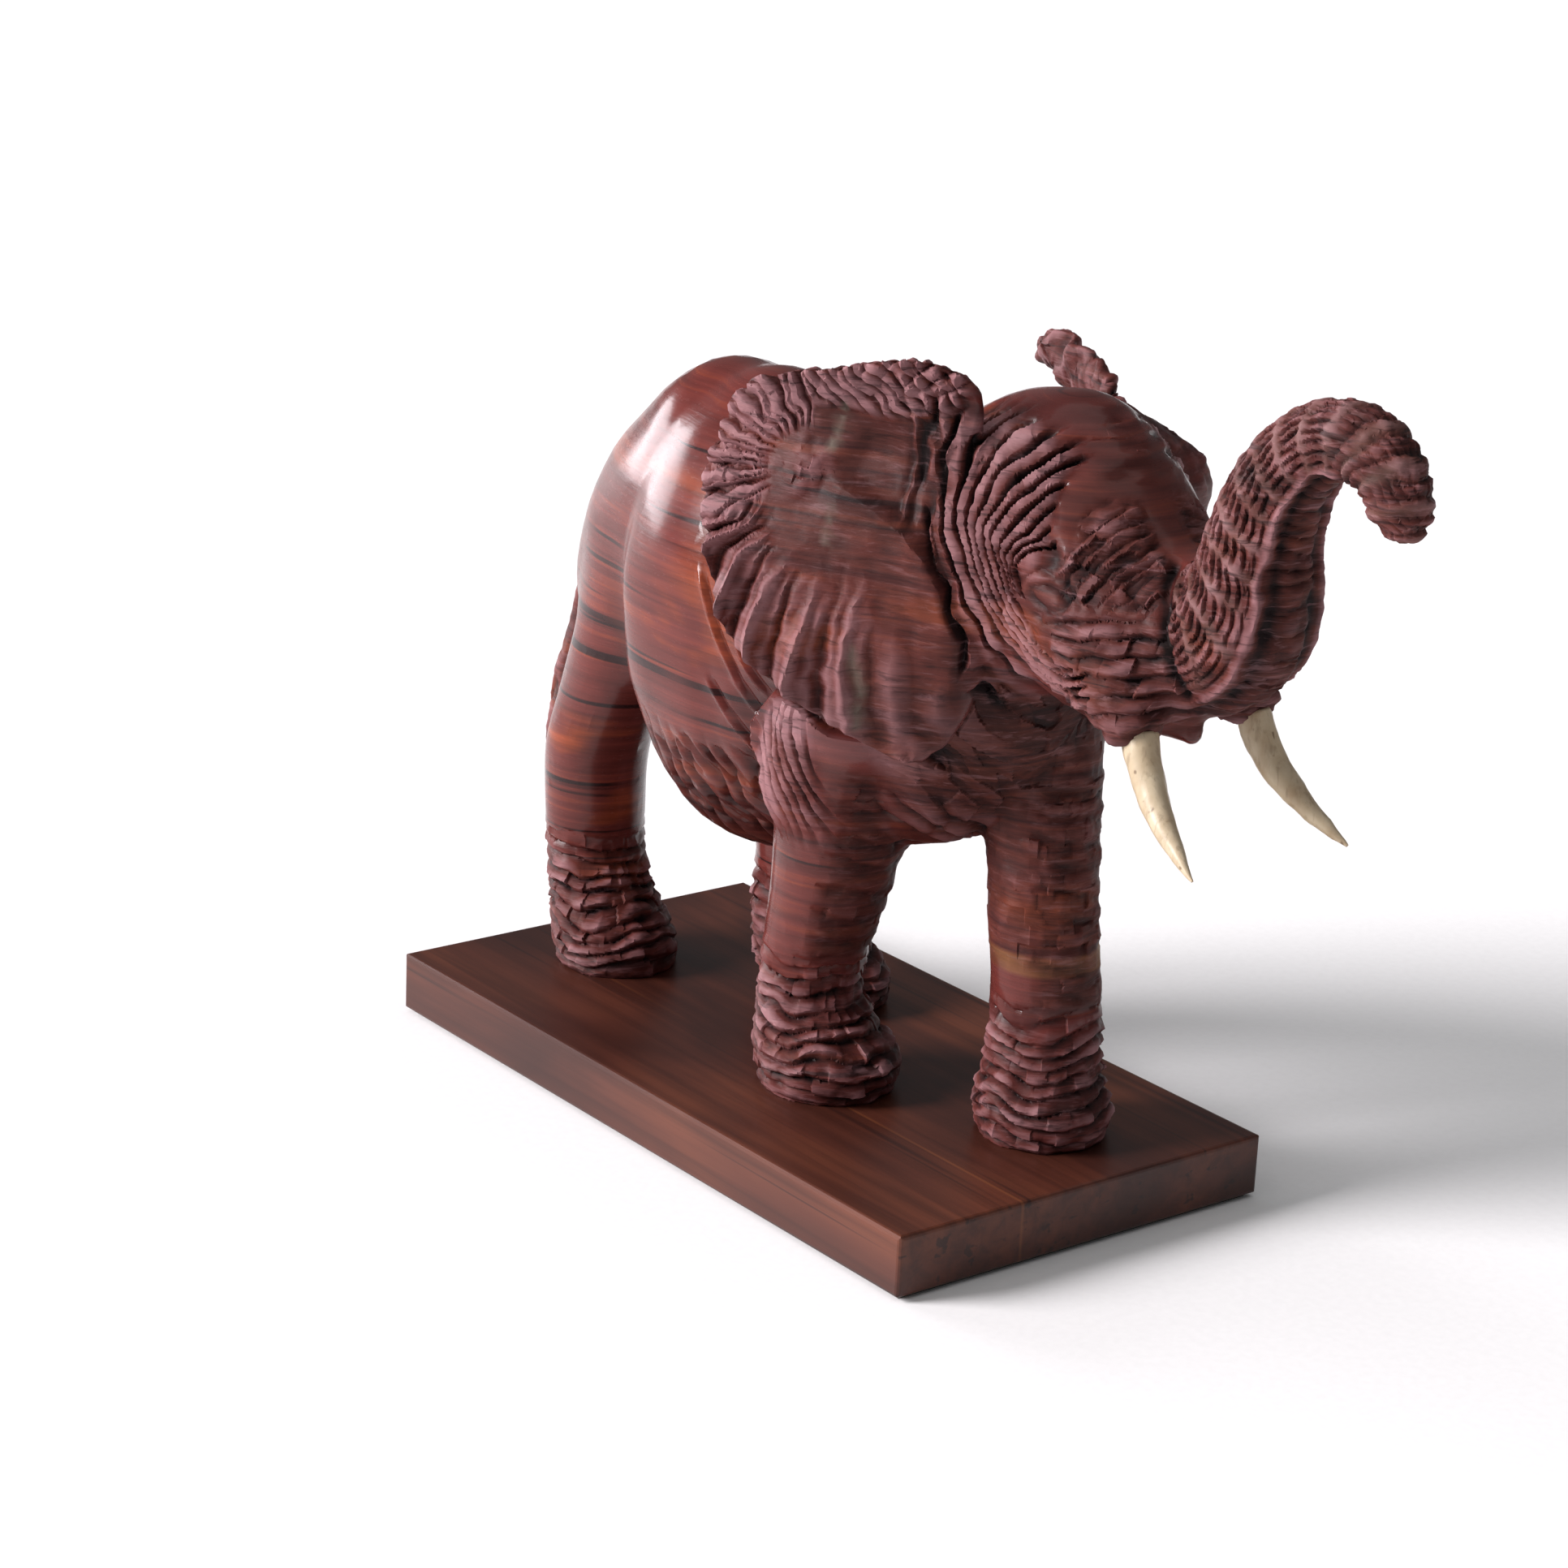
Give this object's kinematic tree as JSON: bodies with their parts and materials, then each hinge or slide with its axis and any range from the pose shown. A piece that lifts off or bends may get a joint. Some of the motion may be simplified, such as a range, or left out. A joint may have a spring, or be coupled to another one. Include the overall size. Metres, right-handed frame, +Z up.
{
  "type": "carved wooden elephant statuette",
  "caption": "Walking elephant carved from one hardwood block, trunk raised, with inset bone tusks, screwed to a flat rectangular plinth of edge-glued boards with a felt underside.",
  "frame": {"origin": "centre of the felt underside of the plinth", "axes": "+X the way the elephant faces, +Y the elephant's left, +Z up"},
  "size_m": [0.4232, 0.179, 0.3084],
  "materials": {
    "carved_wood": "waxed rosewood, polished on the body and chisel-cut on head, ears, trunk and feet",
    "bone": "knife-cut pale bone with a low polish",
    "plinth_wood": "dark stained and satin varnished",
    "screw_steel": "zinc plated",
    "felt": "pressed wool felt"
  },
  "bodies": {
    "root": {"elephant_carving": "carved_wood", "tusk_right": "bone", "tusk_left": "bone", "base_board_right": "plinth_wood", "base_board_left": "plinth_wood", "foot_screw_front_right": "screw_steel", "foot_screw_front_left": "screw_steel", "foot_screw_rear_right": "screw_steel", "foot_screw_rear_left": "screw_steel", "felt_sheet": "felt"}
  },
  "joints": []
}
